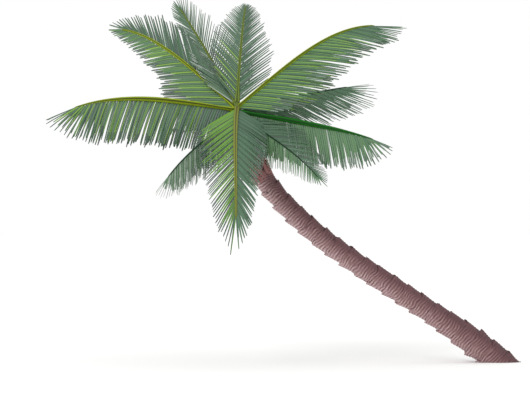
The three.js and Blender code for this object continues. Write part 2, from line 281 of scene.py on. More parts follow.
# A leaflet's length against the longest: shorter at the stem and at the rib's tip, where the
# leaflets also close in and lie level.
STEM_SHARE = 0.7
FULL_FROM = 0.25
EVEN_LOSS = 0.12
END_LOSS = 0.28
END_POWER = 14
END_EASE = 0.85
EASE_POWER = 12
# How far along the rib `stem` and `root` reach, and how late `fan` sets in.
STEM_REACH = 0.7
ROOT_REACH = 0.35
FAN_POWER = 20

# Rows of a leaflet as shares of its length, its half widths there, plain and fully tapered,
# and the rows at which it may turn to its tip's tone.
LEAF_SHARES = (0.0, 0.1, 0.26, 0.44, 0.62, 0.8, 0.94, 1.0)
LEAF_WIDTHS = (0.9, 1.0, 1.0, 0.94, 0.86, 0.76, 0.66, 0.42)
NARROW_WIDTHS = (0.9, 1.0, 0.94, 0.78, 0.6, 0.46, 0.36, 0.24)
TONE_TURNS = (4, 5, 5, 6)
# How deep in the rib a leaflet's root is, how much narrower leaflets are at the rib's tip, and
# the last place on the rib for one.
ROOT_INSET = 0.7
TIP_NARROWING = 0.25
LAST_LEAF = 0.998

# Chance in the leaflets: their place, in spacings, and their way, in radians, their length
# and half width, how often a bright tone is dealt, a slow wave of length from row to row, and
# the groups that they part into, whose members lean together by a share of the spacing.
PLACE_CHANCE = 0.1
WAY_CHANCE = 0.025
LENGTH_CHANCE = (0.9, 1.03)
WIDTH_CHANCE = (0.85, 1.1)
BRIGHT_CHANCE = 0.85
ROW_WAVE = 0.05
ROW_TURN = 0.9
GROUP_SIZES = (2, 6)
GROUP_PULL = (0.1, 0.5)

# The room that leaflets leave the trunk: the rows at a leaflet's root that need none, their
# clearance, and the heart's height and radius as they are taken here.
FREE_ROWS = 2
LEAF_CLEARANCE = 0.03
HEART_ROOM = 0.4
HEART_RADIUS = 0.1

# Torn fibres of old leaf sheaths: where they leave the trunk, their length, half width, how
# far those on the lower side stray down, how far all stand off, and their narrowing rows.
FIBRE_FROM = (6.85, 7.5)
FIBRE_LENGTH = (0.3, 0.6)
FIBRE_WIDTH = (0.018, 0.036)
FIBRE_STRAY = (0.15, 0.6)
STRAY_BELOW = 0.4
FIBRE_STAND = (0.02, 0.25)
FIBRE_LIFT = 1.02
FIBRE_FOLD = 0.3
FIBRE_WIDTHS = (0.8, 1.0, 1.0, 0.8, 0.5, 0.1)

ARCH_STEPS = 60
UV_NAME = "UVMap"
# Points closer than this become one, and points this near to the ground's cut are on it.
MERGE = 0.00005
ON_CUT = 0.00001

# The stage: the camera's sensor, the picture's width, the light's way, and the floor, which
# lies a little below the trunk's cut.
SENSOR = 36.0
PHOTO_WIDTH = 530
FAR_CLIP = 500.0
KEY_SOFTNESS = 25
KEY_WAY = (52, 0, -28)
FLOOR_REACH = 250
FLOOR_DROP = 0.002
FLOOR_COLOUR = (0.93, 0.93, 0.92)


def linear(red, green, blue):
    """A colour as seen on a screen, 0 to 255, as Blender's linear red, green and blue."""
    parts = (value / 255 for value in (red, green, blue))
    return tuple(part / 12.92 if part <= 0.04045 else ((part + 0.055) / 1.055) ** 2.4
                 for part in parts)


def mix(a, b, part):
    return a + (b - a) * part


def smooth(value, low, high):
    part = min(max((value - low) / (high - low), 0), 1)
    return part * part * (3 - 2 * part)


def on_side(pair, side):
    """The value for a rib's left side, 1, or its right side, -1."""
    return pair[0] if side == 1 else pair[1]


def size(name, description, default, unit="LENGTH"):
    return FloatProperty(name=name, description=description, default=default, unit=unit)


def share(name, description, default):
    return FloatProperty(name=name, description=description, default=default, subtype="FACTOR")


def colour(name, description, *screen):
    return FloatVectorProperty(name=name, description=description, default=linear(*screen),
                               subtype="COLOR", min=0, max=1)


class PalmTrunkSettings(bpy.types.PropertyGroup):
    """Sizes of the trunk and its bark."""
    foot_radius: size("Foot", "Radius of the trunk at the ground, above the flare", 0.262)
    neck_radius: size("Neck", "Radius of the trunk under the crown", 0.227)
    flare: size("Flare", "How much wider the foot is than the taper gives", 0.065)
    flare_height: size("Flare height", "How far along the trunk its foot is widest", 0.5)
    flare_reach: size("Flare reach", "Distance in which the flare dies away", 0.9)
    cup: size("Cup", "Height of one ring of old leaf scars", 0.39)
    lip: share("Lip", "How far a lip stands out, as a share of the radius", 0.085)
    lip_tilt: size("Ragged lip", "How far a lip wanders along the trunk", 0.055)
    lip_overhang: share("Overhang", "How far a lip laps over the next cup, in cups", 0.05)
    ridge: size("Ridge", "Height of the fine ridges across the bark", 0.007)
    ridge_pitch: size("Ridge pitch", "Distance from ridge to ridge", 0.066)
    ridge_slant: size("Ridge slant", "How far a ridge climbs, or falls, to the upper side", -0.025)
    columns: IntProperty(name="Columns", description="Faces round the trunk", default=80)
    rows: IntProperty(name="Rows", description="Faces along the trunk", default=1200)
    fibres: IntProperty(name="Fibres", description="Torn fibres under the crown", default=170)


class PalmFrondSettings(bpy.types.PropertyGroup):
    """Sizes that all fronds share."""
    stem_radius: size("Stem", "Half width of a rib where it leaves the trunk", 0.056)
    tip_radius: size("Rib tip", "Half width of a rib at its tip", 0.02)
    leaf_length: size("Leaflet", "Length of the longest leaflet", 1.2)
    leaf_half_width: size("Leaflet half width", "Half the width of a leaflet", 0.025)
    leaf_thickness: size("Leaflet thickness", "Thickness along a leaflet's fold", 0.012)
    leaf_fold: share("Fold", "How steeply a leaflet's halves fall from its fold", 0.45)
    splay: size("Splay", "Angle of a leaflet from its rib", radians(62), "ROTATION")
    tip_splay: size("Tip splay", "Angle of the last leaflets", radians(2), "ROTATION")


class PalmColours(bpy.types.PropertyGroup):
    """Finish colours, in linear light."""
    # The light bark is painted light on the trunk's lower side, and the dark bark is painted shade
    # on its upper side.
    bark_painted_light: colour("Light bark", "Underside of the trunk", 196, 168, 170)
    bark_mid: colour("Middle bark", "Flank of the trunk", 134, 102, 103)
    bark_painted_shade: colour("Dark bark", "Upper side of the trunk", 100, 68, 71)
    # The darkest bark is painted shade, in the ridges' grooves and on the trunk's upper side.
    bark_deepest_painted_shade: colour("Darkest bark", "Grooves and the trunk's back", 78, 54, 56)
    fibre: colour("Fibre", "Torn leaf sheath under the crown", 158, 108, 106)
    # The dark colour of each rib is painted shade on its four corners. The moss one also gives the
    # dark strokes of the green sheath at the trunk's top.
    olive: colour("Olive rib", "Light faces of the ribs", 138, 156, 20)
    olive_corner_shade: colour("Olive edge", "Dark corners of the ribs", 62, 72, 14)
    moss: colour("Moss rib", "Light faces of the thin ribs", 108, 126, 50)
    moss_dark_and_corner_shade: colour("Moss edge", "Dark corners of the thin ribs", 64, 78, 30)
    straw: colour("Straw rib", "Light faces of the front rib", 126, 132, 54)
    straw_corner_shade: colour("Straw edge", "Dark corners of the front rib", 80, 84, 40)
    bottle: colour("Bottle green rib", "Light faces of the dark ribs", 14, 98, 8)
    bottle_corner_shade: colour("Bottle green edge", "Dark corners of the dark ribs", 12, 60, 14)
    pitch: colour("Blackish rib", "Light faces of the low ribs", 14, 58, 28)
    pitch_corner_shade: colour("Blackish edge", "Dark corners of the low ribs", 8, 30, 14)
    lime: colour("Lime", "Youngest leaflets", 124, 164, 56)
    spring: colour("Spring green", "Bright leaflets of the front frond", 98, 148, 28)
    fresh: colour("Fresh", "Bright green leaflets", 96, 138, 66)
    mid: colour("Middle green", "Plain leaflets", 84, 122, 80)
    teal: colour("Teal", "Cool green leaflets", 70, 104, 80)
    deep: colour("Deep green", "Shaded leaflets", 52, 84, 60)
    dull: colour("Dull green", "Grey green leaflets", 88, 116, 86)
    slate: colour("Slate", "Blue grey leaflets", 84, 100, 92)
    dusk: colour("Dusk", "Dark leaflet tips", 62, 74, 66)
    mist: colour("Mist", "Pale leaflet tips", 146, 160, 146)


class PalmStageSettings(bpy.types.PropertyGroup):
    """Camera, light and floor."""
    pixel: size("Pixel", "What one pixel of the photograph spans at the trunk", 0.023)
    distance: size("Distance", "From the trunk to the camera", 60.0)
    camera_x: size("Camera X", "Sideways place of the camera", -5.405)
    camera_z: size("Camera Z", "Height of the camera", 3.5995)
    world: FloatProperty(name="Sky", description="Strength of the white sky", default=1.0)
    key: FloatProperty(name="Key", description="Strength of the key light", default=0.9)


class Value:
    """A socket that carries a number, and adds a Math node for each operator used on it."""

    def __init__(self, shader, socket):
        self.shader = shader
        self.socket = socket

    def maths(self, operation, *others):
        inputs = dict(enumerate((self, *others)))
        return self.shader.node("Math", {"operation": operation}, inputs)

    def __add__(self, other):
        return self.maths("ADD", other)

    def __sub__(self, other):
        return self.maths("SUBTRACT", other)

    def __rsub__(self, other):
        return self.shader.node("Math", {"operation": "SUBTRACT"}, {0: other, 1: self})

    def __mul__(self, other):
        return self.maths("MULTIPLY", other)

    __radd__ = __add__
    __rmul__ = __mul__


class Shader:
    """A material under construction."""

    def __init__(self, name, roughness, shine=0.5):
        self.material = bpy.data.materials.new(name)
        self.material.use_nodes = True
        self.tree = self.material.node_tree
        self.surface = self.tree.nodes["Principled BSDF"]
        self.surface.inputs["Roughness"].default_value = roughness
        self.surface.inputs["Specular IOR Level"].default_value = shine

    def feed(self, socket, value):
        if isinstance(value, Value):
            self.tree.links.new(value.socket, socket)
        elif hasattr(value, "__len__") and len(value) == 3 and len(socket.default_value) == 4:
            socket.default_value = (*value, 1)
        else:
            socket.default_value = value

    def node(self, kind, settings=None, inputs=None, output=0):
        """Adds a node of a type, with its settings and its inputs, and gives one output."""
        node = self.tree.nodes.new("ShaderNode" + kind)
        settings = dict(settings or {})
        stops = settings.pop("stops", ())
        for name, value in settings.items():
            setattr(node, name, value)
        if stops:
            while len(node.color_ramp.elements) < len(stops):
                node.color_ramp.elements.new(0.5)
            for element, (position, stop) in zip(node.color_ramp.elements, stops):
                element.position = position
                element.color = (*stop, 1)
        for name, value in (inputs or {}).items():
            self.feed(node.inputs[name], value)
        return Value(self, node.outputs[output])

    def blend(self, part, a, b):
        """One colour over another, by the second one's part."""
        return self.node("Mix", {"data_type": "RGBA"}, {0: part, 6: a, 7: b}, 2)

    def grain(self, vector, scale, detail=2.0):
        """Noise from 0 to 1 in a pattern's own space."""
        stretched = self.node("VectorMath", {"operation": "MULTIPLY"}, {0: vector, 1: scale})
        return self.node("TexNoise", {}, {"Vector": stretched, "Scale": 1.0, "Detail": detail})

    def ramp(self, value, ends, interpolation="LINEAR"):
        """One range of a value mapped to another: `ends` has the first's two, then the other's."""
        low, high, to_low, to_high = ends
        return self.node("MapRange", {"interpolation_type": interpolation}, {
            "Value": value, "From Min": low, "From Max": high,
            "To Min": to_low, "To Max": to_high})

    def bump(self, height, strength, distance):
        """Gives the surface a fine relief, `distance` high."""
        relief = self.node("Bump", {}, {
            "Height": height, "Strength": strength, "Distance": distance})
        self.feed(self.surface.inputs["Normal"], relief)

    def finish(self, base):
        """Wires the colour to the surface, and gives the material."""
        self.feed(self.surface.inputs["Base Color"], base)
        return self.material


class Arch:
    """A limb's middle line, which turns in pitch and heading as it goes."""

    def __init__(self, shape, start):
        self.shape = {**PLAIN, **shape}
        self.length = self.shape["length"]
        self.points = [Vector(start)]
        for step in range(ARCH_STEPS):
            stride = self.along((step + 0.5) / ARCH_STEPS) * self.length / ARCH_STEPS
            self.points.append(self.points[-1] + stride)

    def heading(self, s):
        return radians(self.shape["heading"] + self.shape["sweep"] * s)

    def along(self, s):
        shape = self.shape
        bend = (shape["fall"] - shape["rise"] - shape["settle"]) * max(s, 0) ** shape["curve"]
        pitch = radians(shape["rise"] + shape["settle"] * max(s, 0) + bend)
        heading = self.heading(s)
        return Vector((cos(heading) * cos(pitch), sin(heading) * cos(pitch), sin(pitch)))

    def point(self, s):
        if s < 0:
            return self.points[0] + self.along(0) * s * self.length
        step = min(floor(s * ARCH_STEPS), ARCH_STEPS - 1)
        return self.points[step].lerp(self.points[step + 1], s * ARCH_STEPS - step)

    def frame(self, s):
        """The middle point, the way along, the limb's left-hand side and its upper face."""
        heading = self.heading(s)
        along = self.along(s)
        level_left = Vector((-sin(heading), cos(heading), 0))
        level_up = along.cross(level_left)
        roll = radians(self.shape["roll"] + self.shape["twist"] * s)
        left = level_left * cos(roll) + level_up * sin(roll)
        up = level_up * cos(roll) - level_left * sin(roll)
        return self.point(s), along, left, up


TRUNK_ARCH = Arch(TRUNK, (0, 0, 0))


def frond_arch(frond):
    return Arch(frond, TRUNK_ARCH.point(1 - frond["seat"] / TRUNK["length"]))


def show(name, mesh, slot, *nodes):
    """Puts a finished mesh in the scene, where it stands for these nodes."""
    piece = bpy.data.objects.new(name, mesh)
    bpy.context.scene.collection.objects.link(piece)
    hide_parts(*nodes)
    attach(piece, BODY)


def nodes_of(name):
    if name in SPLIT_FRONDS:
        return f"frond_{name}_inner", f"frond_{name}_outer"
    return (f"frond_{name}",)


def roll_up(shell, columns, rows, place):
    """Lays a grid round a limb, each point where `place` puts it, and joins it along its seam."""
    shell.loops.layers.uv.new(UV_NAME)
    bmesh.ops.create_grid(shell, x_segments=columns, y_segments=rows, size=0.5, calc_uvs=True)
    for point in shell.verts:
        point.co = place(point, point.co.x + 0.5, point.co.y + 0.5)
    bmesh.ops.remove_doubles(shell, verts=shell.verts, dist=MERGE)


def close_up(shell, name, material):
    """Shuts a tube's ends, turns its faces outwards and makes it a smooth mesh."""
    bmesh.ops.holes_fill(shell, edges=shell.edges, sides=0)
    bmesh.ops.recalc_face_normals(shell, faces=shell.faces)
    for face in shell.faces:
        face.smooth = True
    mesh = bpy.data.meshes.new(name)
    shell.to_mesh(mesh)
    shell.free()
    mesh.materials.append(material)
    return mesh


def trunk_radius(sizes, distance):
    taper = mix(sizes.foot_radius, sizes.neck_radius, distance / TRUNK["length"])
    from_flare = (distance - sizes.flare_height) / sizes.flare_reach
    return taper + sizes.flare * exp(-from_flare ** 2)


def heart_radius(below):
    """The trunk's radius in the crown's heart, where it narrows between the stems."""
    for (low, wide), (high, narrow) in zip(HEART, HEART[1:]):
        if below <= high:
            return mix(wide, narrow, smooth(below, low, high))
    return HEART[-1][1]


def lip_wave(angle, cup):
    """The outline of a lip, from -1 to 1 round the trunk."""
    return sum(height * sin(count * angle + turn * cup) for height, count, turn in LIP_WAVES)


def lip_stand(angle, cup):
    """How boldly a lip stands out at an angle round the trunk."""
    edge = (LIP_BOLD - LIP_UPPER_LOSS * sin(angle)) * abs(sin(angle)) ** LIP_SIDE_POWER
    around = Vector((cos(angle), sin(angle), cup * LIP_NOISE_STEP))
    return max((LIP_FLANK + edge) * (LIP_EVEN + noise.noise(around * LIP_NOISE)), LIP_LEAST)


def cup_profile(sizes, part):
    """How far along its cup, and how far out, the bark is."""
    over = 1 + sizes.lip_overhang
    edge = LIP_EDGE * sizes.lip
    if part < SWELL_END:
        rise = part / SWELL_END
        return over * rise, -sizes.lip + 2 * sizes.lip * rise ** SWELL_POWER
    if part < LIP_END:
        return over, mix(sizes.lip, edge, (part - SWELL_END) / (LIP_END - SWELL_END))
    fall = (part - LIP_END) / (1 - LIP_END)
    return mix(over, 1, fall), mix(edge, -sizes.lip, fall)


def bark_point(sizes, angle, along_share):
    """How far along the trunk one point of the bark is, and its radius there."""
    cups = floor((TRUNK["length"] + HEART[0][0] + BURIED) / sizes.cup)
    if along_share >= BARK_SHARE:
        part = (along_share - BARK_SHARE) / (1 - BARK_SHARE)
        distance = mix(cups * sizes.cup - BURIED, TRUNK["length"], part)
        step_in = mix(1 - sizes.lip, 1, smooth(part, 0, HEART_BLEND))
        return distance, heart_radius(distance - TRUNK["length"]) * step_in
    position = along_share / BARK_SHARE * cups
    cup = floor(position)
    along, out = cup_profile(sizes, position - cup)
    level = (cup + along) * sizes.cup - BURIED
    out = out * lip_stand(angle, cup) * smooth(level, LIP_GROUND_FROM, LIP_GROUND_TO)
    wave = smooth(along, WAVE_FROM, WAVE_TO) * lip_wave(angle, cup)
    distance = level + wave * sizes.lip_tilt
    radius = trunk_radius(sizes, distance) * (1 + out)
    return distance, radius + ridge(sizes, angle, distance) * sizes.ridge


def patterned(pattern, angle, distance):
    """The value of a random pattern at a place on the trunk."""
    around = Vector((cos(angle), sin(angle), 0)) * pattern.around
    place = around + Vector((*pattern.shift, distance * pattern.along))
    return pattern.strength * noise.noise(place)


def ridge(sizes, angle, distance):
    """The bark's fine cross ridges, from -1 to 1: slanting strokes that break off and resume."""
    climb = sin(angle) * smooth(cos(angle), -SLANT_EASE, SLANT_EASE)
    phase = (distance - sizes.ridge_slant * climb) / sizes.ridge_pitch
    phase += patterned(BEND, angle, distance) + patterned(WANDER, angle, distance)
    force = EVEN_FORCE + patterned(FORCE, angle, distance)
    return force * sin(2 * pi * phase) + patterned(GRIT, angle, distance)


def bark_material(colours):
    """Mauve brown bark with painted light below and painted shade above, crossed by fine ridges
    with painted light on their crests and painted shade in their grooves, green at its top.
    """
    shader = Shader("bark", roughness=0.92)
    straight = shader.node("Attribute", {"attribute_name": "straight"}, output=1)
    relief = shader.node("Attribute", {"attribute_name": "ridge"}, output=2)
    upper = shader.node("SeparateXYZ", {}, {0: straight}, 1)
    distance = shader.node("SeparateXYZ", {}, {0: straight}, 2)
    strokes = shader.grain(straight, STROKE_SCALE, STROKE_DETAIL)
    patches = shader.grain(straight, PATCH_SCALE)
    hairs = shader.grain(straight, HAIR_SCALE)
    # How strongly the ridges' painted light on their crests and painted shade in their grooves
    # show round the trunk.
    lit = shader.ramp(upper, RIDGE_SHADE_RAMP, "SMOOTHSTEP")
    # Painted light on the trunk's lower side and painted shade on its upper side, from the first
    # ramp, with the ridges' painted light and shade taken off.
    tone = shader.ramp(upper, SHADE_RAMP) - relief * lit
    tone = tone + (strokes - 0.5) * STROKE_TONE + (patches - 0.5) * PATCH_TONE
    tone = tone - distance * PALING + FOOT_TONE
    shades = (colours.bark_painted_light, colours.bark_mid, colours.bark_painted_shade, colours.bark_deepest_painted_shade)
    base = shader.node("ValToRGB", {"stops": tuple(zip(TONE_STOPS, shades))}, {0: tone})
    green = shader.ramp(distance + (patches - 0.5) * GREEN_WANDER, GREEN_RAMP, "SMOOTHSTEP")
    sheath = shader.blend(strokes, colours.moss_dark_and_corner_shade, colours.moss)
    shader.bump(strokes * 0.7 + hairs * 0.3, strength=0.6, distance=0.012)
    shader.feed(shader.surface.inputs["Roughness"], 0.85 + hairs * 0.12)
    return shader.finish(shader.blend(green, base, sheath))


def rib_material(name, light, dark):
    """A rib with light faces and painted shade on its corners, streaked along its length."""
    shader = Shader(name, roughness=0.7, shine=0.2)
    place = shader.node("UVMap", {"uv_map": UV_NAME})
    around = shader.node("SeparateXYZ", {}, {0: place}, 0)
    # Painted shade on the rib's four corners, where this wave peaks.
    corner = (around * (2 * pi * CORNERS)).maths("COSINE") * 0.5 + 0.5
    streaks = shader.grain(place, STREAK_SCALE)
    shader.bump(streaks, strength=0.3, distance=0.003)
    return shader.finish(shader.blend(corner * corner * 1.3 + (streaks - 0.5) * 0.5, light, dark))


def leaf_material(name, tone):
    """A satin leaflet with veins along it, a little uneven in colour from place to place."""
    shader = Shader(name, roughness=0.5)
    place = shader.node("UVMap", {"uv_map": UV_NAME})
    spot = shader.node("TexCoord", {}, output=3)
    veins = shader.grain(place, VEIN_SCALE)
    patches = shader.grain(spot, LEAF_PATCH_SCALE)
    dark = tuple(value * LEAF_DARK for value in tone)
    light = tuple(min(value * LEAF_LIGHT, 1) for value in tone)
    shader.bump(veins, strength=0.35, distance=0.002)
    return shader.finish(shader.blend(veins * 0.45 + patches * 0.55, dark, light))


def fibre_material(tone):
    """Dry leaf sheath, darker from place to place."""
    shader = Shader("fibre", roughness=0.85)
    spot = shader.node("TexCoord", {}, output=3)
    dark = tuple(value * FIBRE_DARK for value in tone)
    return shader.finish(shader.blend(shader.grain(spot, FIBRE_PATCH_SCALE), dark, tuple(tone)))


def rib_radius(sizes, arch, s):
    shape = arch.shape
    reach = max(s, 0)
    even = mix(sizes.tip_radius, sizes.stem_radius, (1 - reach) ** RIB_THINNING)
    clasp = 1 + CLASP * (1 - smooth(s, 0, CLASP_END))
    belly = 1 + shape["belly"] * sin(pi * reach)
    thin = mix(1, shape["rib"], smooth(s, THIN_FROM, THIN_TO))
    return even * clasp * belly * thin


def rib_shell(sizes, arch):
    """A grooved rib from inside the trunk to the frond's tip."""

    def place(_, around, along):
        s = mix(RIB_START, 1, along)
        angle = 2 * pi * around
        centre, _, left, up = arch.frame(s)
        groove = GROOVE * max(sin(angle), 0) ** GROOVE_POWER * (1 - GROOVE_LOSS * max(s, 0))
        out = left * cos(angle) + up * sin(angle) * (RIB_DEPTH - groove)
        end = mix(1, POINT_SHARE, smooth(s, POINT_FROM, 1))
        return centre + out * rib_radius(sizes, arch, s) * end

    shell = bmesh.new()
    roll_up(shell, RIB_SIDES, RIB_ROWS, place)
    return shell


class Sheaf:
    """Collects many small blades as arrays, to make one mesh of them."""

    def __init__(self):
        self.points = []
        self.faces = []
        self.tones = []
        self.uvs = []

    def blade(self, spine, widths, fold, thickness, tones):
        """A folded blade. Its spine has a centre, a side and an upper direction for each row."""
        first = len(self.points)
        # A leaflet's two halves take a pair's two tones, painted light on one half and painted
        # shade on the other where they differ. A fibre takes one tone.
        halves = (0, 1, 1, 0)
        for (centre, side, face), width in zip(spine, widths):
            drop = face * fold * width
            self.points += [
                centre - side * width - drop,
                centre,
                centre + side * width - drop,
                centre - face * (thickness * min(1, width / widths[2])),
            ]
        across = (0, 0.5, 1, 0.5, 0)
        last = len(spine) - 1
        for row in range(last):
            low, high = row / last, (row + 1) / last
            for corner in range(4):
                a = first + 4 * row + corner
                b = first + 4 * row + (corner + 1) % 4
                self.faces.append((a, b, b + 4, a + 4))
                u, v = across[corner], across[corner + 1]
                self.uvs += [(u, low), (v, low), (v, high), (u, high)]
                self.tones.append(tones[row][halves[corner]])
        end = first + 4 * last
        for base, ring, tone in ((first, (3, 2, 1, 0), tones[0]), (end, (0, 1, 2, 3), tones[-1])):
            self.faces.append(tuple(base + corner for corner in ring))
            self.uvs += [(0.5, 0.0)] * 4
            self.tones.append(tone[0])

    def mesh(self, name, materials):
        mesh = bpy.data.meshes.new(name)
        mesh.from_pydata(self.points, [], self.faces)
        layer = mesh.uv_layers.new(name=UV_NAME)
        layer.data.foreach_set("uv", np.array(self.uvs, np.float32).ravel())
        mesh.polygons.foreach_set("material_index", self.tones)
        for material in materials:
            mesh.materials.append(material)
        mesh.update()
        return mesh


def leaf_share(s):
    """A leaflet's length, relative to the longest: shorter at the stem and at the tip."""
    grown = sin(pi / 2 * min(s / FULL_FROM, 1))
    return mix(STEM_SHARE, 1, grown) - EVEN_LOSS * s ** 2 - END_LOSS * s ** END_POWER


def leaf_length(sizes, shape, s, side):
    """A leaflet's even length at a share s of the rib, on side 1 or -1."""
    length = sizes.leaf_length * shape["leaf"] * leaf_share(s) * (1 - shape["fade"] * s)
    length *= 1 + side * shape["uneven"]
    length *= 1 + on_side(shape["root"], side) * (1 - smooth(s, 0, ROOT_REACH))
    return length * (1 + shape["fan"] * s ** FAN_POWER)


def leaf_way(sizes, arch, s, side):
    """A leaflet's root at a share s of the rib, the rib's way there, its own way and its droop."""
    shape = arch.shape
    centre, along, left, up = arch.frame(s)
    close = radians(shape["close"])
    last = sizes.splay - sizes.tip_splay - close
    splay = (sizes.splay - close * s ** 2 - last * s ** END_POWER) * shape["spread"]
    splay += side * radians(shape["skew"]) * (1 - s ** END_POWER)
    splay += radians(on_side(shape["stem"], side)) * (1 - smooth(s, 0, STEM_REACH))
    ease = 1 - END_EASE * s ** EASE_POWER
    hang = radians(shape["hang"] * ease)
    sideways = left * side * cos(hang) + up * sin(hang)
    root = centre + sideways * rib_radius(sizes, arch, s) * ROOT_INSET
    return root, along, along * cos(splay) + sideways * sin(splay), shape["droop"] * ease


def tone_pair(names):
    """The materials of a leaflet's two halves: where they differ, painted light on one half and
    painted shade on the other.
    """
    return tuple(TONE_ORDER.index(name) for name in names.split())


def gathered(count, random, gather):
    """How far each leaflet leans to its neighbours, in spacings: they part into loose groups."""
    leans = []
    while len(leans) < count:
        group = random.randint(*GROUP_SIZES)
        pull = random.uniform(*GROUP_PULL) * gather
        leans += [((group - 1) / 2 - place) * pull for place in range(group)]
    return leans[:count]


def leaf_spine(start, length, side):
    """The rows of a leaflet: centre, side and upper face, bending down as it goes."""
    centre, along, out, droop = start
    spine = []
    for row, reach in enumerate(LEAF_SHARES):
        before = LEAF_SHARES[max(row - 1, 0)]
        way = (out - Vector((0, 0, droop * (reach + before) / 2))).normalized()
        centre = centre + way * (reach - before) * length
        across = (along - way * along.dot(way)).normalized() * side
        spine.append((centre, across, across.cross(way)))
    return spine


def touches_trunk(sizes, spine):
    """True where a leaflet would pass through the trunk."""
    line = np.array([tuple(point) for point in TRUNK_ARCH.points])
    reach = np.linspace(0, TRUNK["length"], len(line))
    radii = np.array([trunk_radius(sizes, distance) for distance in reach])
    radii = np.where(reach > TRUNK["length"] - HEART_ROOM, HEART_RADIUS, radii)
    points = np.array([tuple(row[0]) for row in spine[FREE_ROWS:]])
    gaps = np.linalg.norm(points[:, None] - line[None], axis=2) - radii
    return bool((gaps < LEAF_CLEARANCE).any())


def leaf_tones(shape, s, row, side, random):
    """The tones of a leaflet's rows, as the materials of its two halves, which paint light on one
    half and shade on the other.
    """
    tones = TONES[on_side(shape["tones"], side)]
    bright = tones.low < s < tones.high and random.random() < BRIGHT_CHANCE
    inner = tones.near if bright else tones.plain
    near = tone_pair(inner[(row + (side == 1)) % len(inner)])
    far = tone_pair(random.choice(tones.far))
    turn = random.choice(TONE_TURNS)
    return [near if part < turn else far for part in range(len(LEAF_SHARES) - 1)]


def grow_leaflets(sizes, trunk_sizes, name, frond):
    """All the leaflets of a frond, as one sheaf."""
    random = Random(f"leaflets of {name}")
    arch = frond_arch(frond)
    shape = arch.shape
    sheaf = Sheaf()
    pairs = shape["pairs"]
    bare = shape["bare"]
    leans = gathered(pairs, random, shape["gather"])
    spacing = arch.length * (1 - bare) / pairs
    shares = [mix(wide, narrow, shape["taper"])
              for wide, narrow in zip(LEAF_WIDTHS, NARROW_WIDTHS)]
    for row in range(pairs):
        row_length = 1 + ROW_WAVE * sin(row * ROW_TURN) * random.random()
        for side in (1, -1):
            ahead = side * shape["stagger"] / 2 + random.uniform(-PLACE_CHANCE, PLACE_CHANCE)
            s = bare + (1 - bare) * min((row + 0.5 + ahead) / pairs, LAST_LEAF)
            root, along, out, droop = leaf_way(sizes, arch, s, side)
            length = leaf_length(sizes, shape, s, side) * row_length
            length *= random.uniform(*LENGTH_CHANCE)
            lean = leans[row] * spacing / length + random.uniform(-WAY_CHANCE, WAY_CHANCE)
            out = (out + along * lean).normalized()
            spine = leaf_spine((root, along, out, droop), length, side)
            tones = leaf_tones(shape, s, row, side, random)
            width = sizes.leaf_half_width * shape["blade"] * random.uniform(*WIDTH_CHANCE)
            width *= (1 - TIP_NARROWING * s) * (1 - side * shape["uneven"])
            if not touches_trunk(trunk_sizes, spine):
                widths = [width * part for part in shares]
                sheaf.blade(spine, widths, sizes.leaf_fold, sizes.leaf_thickness, tones)
    return sheaf


def lay_fibres(trunk_sizes):
    """Torn fibres that lie along the trunk under the crown, as one sheaf."""
    random = Random("fibres")
    sheaf = Sheaf()
    last = len(FIBRE_WIDTHS) - 1
    for _ in range(trunk_sizes.fibres):
        angle = random.uniform(0, 2 * pi)
        low = random.uniform(*FIBRE_FROM)
        length = random.uniform(*FIBRE_LENGTH)
        stray = random.uniform(*FIBRE_STRAY) * (sin(angle) < STRAY_BELOW)
        width = random.uniform(*FIBRE_WIDTH)
        centre, along, left, up = TRUNK_ARCH.frame(low / TRUNK["length"])
        out = left * cos(angle) + up * sin(angle)
        start = centre + out * trunk_radius(trunk_sizes, low) * FIBRE_LIFT
        way = (along - up * stray + out * random.uniform(*FIBRE_STAND)).normalized()
        side = out.cross(way).normalized()
        spine = [(start + way * length * row / last, side, side.cross(-way))
                 for row in range(last + 1)]
        widths = [width * part for part in FIBRE_WIDTHS]
        sheaf.blade(spine, widths, FIBRE_FOLD, width / 2, [(0, 0)] * last)
    return sheaf


class PALM_OT_stage(bpy.types.Operator):
    """Set the camera, the soft light and a pale floor"""
    bl_idname = "palm.stage"
    bl_label = "Stage"

    def execute(self, context):
        stage = context.scene.palm_stage
        camera_data = bpy.data.cameras.new("camera")
        camera_data.sensor_width = SENSOR
        camera_data.lens = SENSOR * stage.distance / (PHOTO_WIDTH * stage.pixel)
        camera_data.clip_end = FAR_CLIP
        camera = bpy.data.objects.new("camera", camera_data)
        camera.location = (stage.camera_x, -stage.distance, stage.camera_z)
        camera.rotation_euler = (pi / 2, 0, 0)
        context.scene.collection.objects.link(camera)
        context.scene.camera = camera

        key_data = bpy.data.lights.new("key", "SUN")
        key_data.energy = stage.key
        key_data.angle = radians(KEY_SOFTNESS)
        key = bpy.data.objects.new("key", key_data)
        key.rotation_euler = tuple(radians(turn) for turn in KEY_WAY)
        context.scene.collection.objects.link(key)

        world = bpy.data.worlds.new("white sky")
        world.use_nodes = True
        background = world.node_tree.nodes["Background"]
        background.inputs["Color"].default_value = (1, 1, 1, 1)
        background.inputs["Strength"].default_value = stage.world
        context.scene.world = world
        context.scene.view_settings.view_transform = "Standard"

        plate = bmesh.new()
        bmesh.ops.create_grid(plate, x_segments=1, y_segments=1, size=FLOOR_REACH)
        bmesh.ops.translate(plate, verts=plate.verts, vec=(0, 0, -FLOOR_DROP))
        mesh = bpy.data.meshes.new("floor")
        plate.to_mesh(mesh)
        plate.free()
        mesh.materials.append(Shader("floor", roughness=0.9).finish(FLOOR_COLOUR))
        floor = bpy.data.objects.new("floor", mesh)
        context.scene.collection.objects.link(floor)
        return {"FINISHED"}


